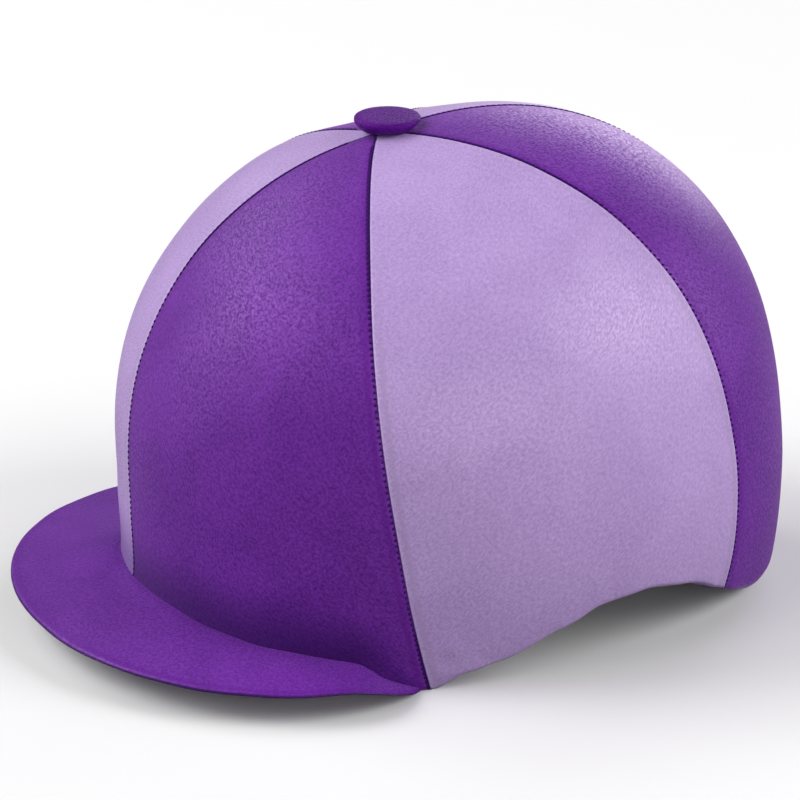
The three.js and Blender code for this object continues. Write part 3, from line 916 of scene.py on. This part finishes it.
# The ditch's dark is painted shade of the seam's groove together with the dark stitching
DITCH_SHARE = 0.8
CROWN_DITCH_SHARE = 0.85
ROLLED_HEM_SHADE_SHARE = 0.55
CREASE_SHADE_SHARE = 0.8
LOOSE_SHARE = 0.42

# Over these distances from the apex and from the hem a seam goes from tight to loose, and over
# this height from the rim's lowest line the painted shade of the rolled hem runs out
TIGHT_FROM_APEX = (70.0, 115.0)
TIGHT_FROM_HEM = (22.0, 38.0)
ROLLED_HEM_REACH = (-0.6, 1.0)

PATCH_SIZE = 0.028
FLECK_ROUGHNESS = 0.17
CREASE_ROUGHNESS = 0.3
PULL_HEIGHT = 1.4
BUMP_STRENGTH = 0.55
SATIN_SPECULAR = 0.4
SHEEN_ROUGHNESS = 0.35


def satin_material(name, satin, has_seam=True, has_hem=False, ditch=1.0, bite=0.4):
    """Stretch satin: knit flecks, soft patches, and the seams that the piece's attributes give."""
    material, tree, shader = new_material(name)
    cloth = add_node(tree, "ShaderNodeUVMap", uv_map="cloth").outputs[0]
    place = add_node(tree, "ShaderNodeTexCoord").outputs["Object"]
    knit = place_group(tree, KNIT, {"Cloth": cloth, "Loop Size": satin.loop,
                                    "Slant": satin.slant, "Stretch": satin.stretch})
    patch = place_group(tree, HANDLING, {"Place": place, "Patch Size": PATCH_SIZE})["Patch"]
    tone = add_math(tree, "ADD", add_math(tree, "MULTIPLY", knit["Fleck"], FLECK_SHARE),
                    add_math(tree, "MULTIPLY", patch, PATCH_SHARE))
    colour = add_mix(tree, tone, satin.dark, satin.light)
    height = knit["Height"]
    if has_seam:
        reach, run = read_attribute(tree, "seam_reach"), read_attribute(tree, "seam_run")
        ditch_share = DITCH_SHARE
        if has_hem:
            hem = read_attribute(tree, "hem_reach")
            tight = add_math(tree, "MAXIMUM",
                             add_range(tree, run, *TIGHT_FROM_APEX, 1.0, LOOSE_SHARE),
                             add_range(tree, hem, *TIGHT_FROM_HEM, 1.0, LOOSE_SHARE))
            ditch = add_math(tree, "MULTIPLY", tight, ditch)
            ditch_share = add_math(tree, "MULTIPLY", tight, CROWN_DITCH_SHARE)
        seam = place_group(tree, SEAM, {
            "Reach": reach, "Run": run, "Ditch Width": ditch, "Bite": bite})
        # The seam's colours: a greyish ridge, the pale rim that is a painted highlight along the
        # lilac's folded edge, and the ditch, painted shade of the groove together with the dark
        # stitching
        for part, share, tint in (("Ridge", RIDGE_SHARE, satin.grey),
                                  ("Rim", satin.rim_share, satin.rim),
                                  ("Ditch", ditch_share, satin.deep)):
            colour = add_mix(tree, add_math(tree, "MULTIPLY", seam[part], share), colour, tint)
        pulled = add_math(tree, "MULTIPLY", seam["Pull"], PULL_HEIGHT * bite)
        height = add_math(tree, "SUBTRACT", height, pulled)
    if has_hem:
        # Painted shade just above the peak's crease, read from the crease_shade attribute
        crease = read_attribute(tree, "crease_shade")
        # Painted shade along the rolled hem's lowest line
        rolled = add_range(tree, hem, *ROLLED_HEM_REACH, 1.0, 0.0)
        for shade, share in ((rolled, ROLLED_HEM_SHADE_SHARE), (crease, CREASE_SHADE_SHARE)):
            colour = add_mix(tree, add_math(tree, "MULTIPLY", shade, share), colour, satin.deep)
    feed(tree, shader.inputs["Base Color"], colour)
    dull = add_range(tree, knit["Fleck"], 0.0, 1.0,
                     satin.roughness + FLECK_ROUGHNESS, satin.roughness - FLECK_ROUGHNESS)
    if has_hem:
        dull = add_math(tree, "ADD", dull, add_math(tree, "MULTIPLY", crease, CREASE_ROUGHNESS))
    feed(tree, shader.inputs["Roughness"], dull)
    bump = add_node(tree, "ShaderNodeBump", inputs={
        "Strength": BUMP_STRENGTH, "Distance": satin.knit_depth * MM, "Height": height})
    feed(tree, shader.inputs["Normal"], bump.outputs[0])
    shader.inputs["Specular IOR Level"].default_value = SATIN_SPECULAR
    shader.inputs["Specular Tint"].default_value = satin.gloss
    shader.inputs["Sheen Weight"].default_value = satin.sheen
    shader.inputs["Sheen Roughness"].default_value = SHEEN_ROUGHNESS
    shader.inputs["Sheen Tint"].default_value = satin.gloss
    return material


def thread_material():
    """Dark purple sewing thread, with the twist of its plies."""
    material, tree, shader = new_material("purple thread")
    place = add_node(tree, "ShaderNodeTexCoord").outputs["Object"]
    twist = add_node(tree, "ShaderNodeTexWave", inputs={
        "Vector": place, "Scale": 900.0, "Distortion": 2.0, "Detail": 1.0})
    colour = add_mix(tree, twist.outputs["Fac"], (0.026, 0.0, 0.085, 1), (0.055, 0.0, 0.16, 1))
    feed(tree, shader.inputs["Base Color"], colour)
    bump = add_node(tree, "ShaderNodeBump", inputs={
        "Strength": 0.5, "Distance": 0.05 * MM, "Height": twist.outputs["Fac"]})
    feed(tree, shader.inputs["Normal"], bump.outputs[0])
    shader.inputs["Roughness"].default_value = 0.7
    shader.inputs["Specular IOR Level"].default_value = 0.15
    return material


PURPLE = Satin(dark=(0.066, 0.006, 0.17, 1), light=(0.188, 0.032, 0.385, 1),
               deep=(0.022, 0.0, 0.075, 1), grey=(0.1, 0.004, 0.23, 1), rim=(0.36, 0.1, 0.6, 1),
               rim_share=0.0, gloss=(0.76, 0.42, 1.0, 1), slant=0.9, stretch=1.2, loop=0.95,
               roughness=0.48, sheen=0.32, knit_depth=0.1)
LILAC = Satin(dark=(0.348, 0.22, 0.505, 1), light=(0.532, 0.375, 0.71, 1),
              deep=(0.12, 0.05, 0.24, 1), grey=(0.36, 0.26, 0.47, 1), rim=(0.7, 0.55, 0.86, 1),
              rim_share=0.4, gloss=(0.93, 0.88, 1.0, 1), slant=-0.52, stretch=1.9,
              loop=0.72, roughness=0.45, sheen=0.13, knit_depth=0.06)

purple_satin = satin_material("purple satin", PURPLE, has_hem=True, ditch=0.9)
lilac_satin = satin_material("lilac satin", LILAC, has_hem=True, ditch=0.3)
# The peak's seam is drawn wide, so its dark covers the rim's lower half as painted shade together
# with the seam line
peak_satin = satin_material("peak satin", PURPLE._replace(sheen=0.16), ditch=1.15, bite=0.0)
# The button's cover is a darker copy of the purple satin, darkened as painted shade so its lit top
# stays dark
button_satin = satin_material("button satin", PURPLE._replace(
    loop=0.6, dark=(0.035, 0.001, 0.1, 1), light=(0.11, 0.004, 0.25, 1), roughness=0.62,
    gloss=(0.62, 0.16, 0.9, 1), sheen=0.03), has_seam=False)
purple_reverse = satin_material("purple reverse", PURPLE._replace(
    roughness=0.75, sheen=0.1, dark=(0.1, 0.006, 0.22, 1),
    light=(0.15, 0.012, 0.3, 1)), has_seam=False)
lilac_reverse = satin_material("lilac reverse", LILAC._replace(
    roughness=0.75, sheen=0.05), has_seam=False)
elastic_satin = satin_material("gathered elastic", PURPLE._replace(
    roughness=0.62, dark=(0.05, 0.002, 0.12, 1), light=(0.11, 0.008, 0.23, 1),
    loop=0.5, stretch=4.0, slant=1.57, knit_depth=0.3), has_seam=False)
thread = thread_material()


# The cap

GORES = (
    ("left_front", 0.0, TEMPLE_SEAM, "purple"),
    ("left_side", TEMPLE_SEAM, NAPE_SEAM, "lilac"),
    ("left_back", NAPE_SEAM, 180.0, "purple"),
    ("right_back", 180.0, 360 - NAPE_SEAM, "lilac"),
    ("right_side", 360 - NAPE_SEAM, 360 - TEMPLE_SEAM, "purple"),
    ("right_front", 360 - TEMPLE_SEAM, 360.0, "lilac"),
)
CLOTHS = {
    "purple": (PURPLE_EDGE, [purple_satin, purple_reverse], "purple_satin"),
    "lilac": (LILAC_EDGE, [lilac_satin, lilac_reverse], "lilac_satin"),
}
for gore_name, gore_start, gore_stop, gore_colour in GORES:
    make_gore("satin_" + gore_name, "panel_" + gore_name, gore_start, gore_stop,
              *CLOTHS[gore_colour])

SEAMS = (
    ("front", 0.0, 1), ("left_temple", TEMPLE_SEAM, -1), ("left_nape", NAPE_SEAM, 1),
    ("back", 180.0, -1), ("right_nape", 360 - NAPE_SEAM, 1),
    ("right_temple", 360 - TEMPLE_SEAM, -1),
)
for seam_name, seam_angle, purple_side in SEAMS:
    make_stitches("stitches_" + seam_name, seam_angle, purple_side, thread)

make_hem_band(elastic_satin)
make_peak([peak_satin])
make_button(button_satin)


# Floor, light and camera

FLOOR_RADIUS = 2.4
LIGHT_SIZE = 1.92
LIGHT_DISTANCE = 3.2
LIGHT_AIM = Vector((0, 0, 0.08))

# The lights, each with its side and height in degrees and its power
LIGHTS = (
    ("front_high", -20, 40, 54), ("front_low", -20, 15, 23), ("far_front", -60, 41, 28),
    ("near_front", 20, 40, 22), ("camera_side", 90, 12, 35), ("near_back", 142, 32, 60),
    ("back_low", 170, 15, 19), ("far_back", 228, 17, 35),
)


def direction_to(azimuth, elevation):
    """The direction of a place beside the cap, from its side and height in degrees."""
    turn, rise = math.radians(azimuth), math.radians(elevation)
    return Vector((math.sin(turn) * math.cos(rise), -math.cos(turn) * math.cos(rise),
                   math.sin(rise)))


def make_floor():
    """A plain pale floor under the whole cap, which throws little light back on it."""
    material, tree, shader = new_material("pale floor")
    seen = add_node(tree, "ShaderNodeLightPath").outputs["Is Camera Ray"]
    feed(tree, shader.inputs["Base Color"], add_mix(
        tree, seen, (0.22, 0.22, 0.22, 1), (0.85, 0.85, 0.85, 1)))
    shader.inputs["Roughness"].default_value = 0.95
    shader.inputs["Specular IOR Level"].default_value = 0.0
    bm = bmesh.new()
    bmesh.ops.create_circle(bm, cap_ends=True, segments=96, radius=FLOOR_RADIUS)
    mesh = bpy.data.meshes.new("floor")
    bm.to_mesh(mesh)
    bm.free()
    mesh.materials.append(material)
    floor = bpy.data.objects.new("floor", mesh)
    bpy.context.scene.collection.objects.link(floor)


def make_light(name, azimuth, elevation, power):
    """A broad soft disc of white light that faces the cap."""
    data = bpy.data.lights.new(name, "AREA")
    data.shape = "DISK"
    data.size = LIGHT_SIZE
    data.energy = power
    light = bpy.data.objects.new(name, data)
    back = direction_to(azimuth, elevation)
    light.location = LIGHT_AIM + back * LIGHT_DISTANCE
    light.visible_camera = False
    light.rotation_euler = back.to_track_quat("Z", "Y").to_euler()
    bpy.context.scene.collection.objects.link(light)


def make_world():
    world = bpy.data.worlds.new("studio")
    world.use_nodes = True
    tree = world.node_tree
    seen = add_node(tree, "ShaderNodeLightPath").outputs["Is Camera Ray"]
    tree.nodes["Background"].inputs["Color"].default_value = (1, 1, 1, 1)
    strength = add_range(tree, seen, 0, 1, 0.05, 0.95)
    feed(tree, tree.nodes["Background"].inputs["Strength"], strength)
    bpy.context.scene.world = world
    bpy.context.scene.view_settings.view_transform = "Standard"


def make_camera():
    """A camera a little above the cap, at its left front, with the crown off the frame's middle."""
    distance, focal_pixels, frame_pixels = 1.152, 3139.0, 800.0
    right_of_middle, below_middle = 43.4, 25.8
    back = direction_to(67.8, 19.65)
    crown_middle = Vector((0, COVER_SHIFT, CROWN_BASE_HEIGHT)) * MM
    side = Vector((0, 0, 1)).cross(back).normalized()
    up = back.cross(side)
    aim = crown_middle + (up * below_middle - side * right_of_middle) * distance / focal_pixels
    data = bpy.data.cameras.new("camera")
    data.sensor_width = 36.0
    data.lens = focal_pixels / frame_pixels * data.sensor_width
    data.clip_start, data.clip_end = 0.05, 50.0
    camera = bpy.data.objects.new("camera", data)
    camera.location = crown_middle + back * distance
    camera.rotation_euler = (camera.location - aim).to_track_quat("Z", "Y").to_euler()
    bpy.context.scene.collection.objects.link(camera)
    bpy.context.scene.camera = camera


make_floor()
make_world()
for light_row in LIGHTS:
    make_light(*light_row)
make_camera()
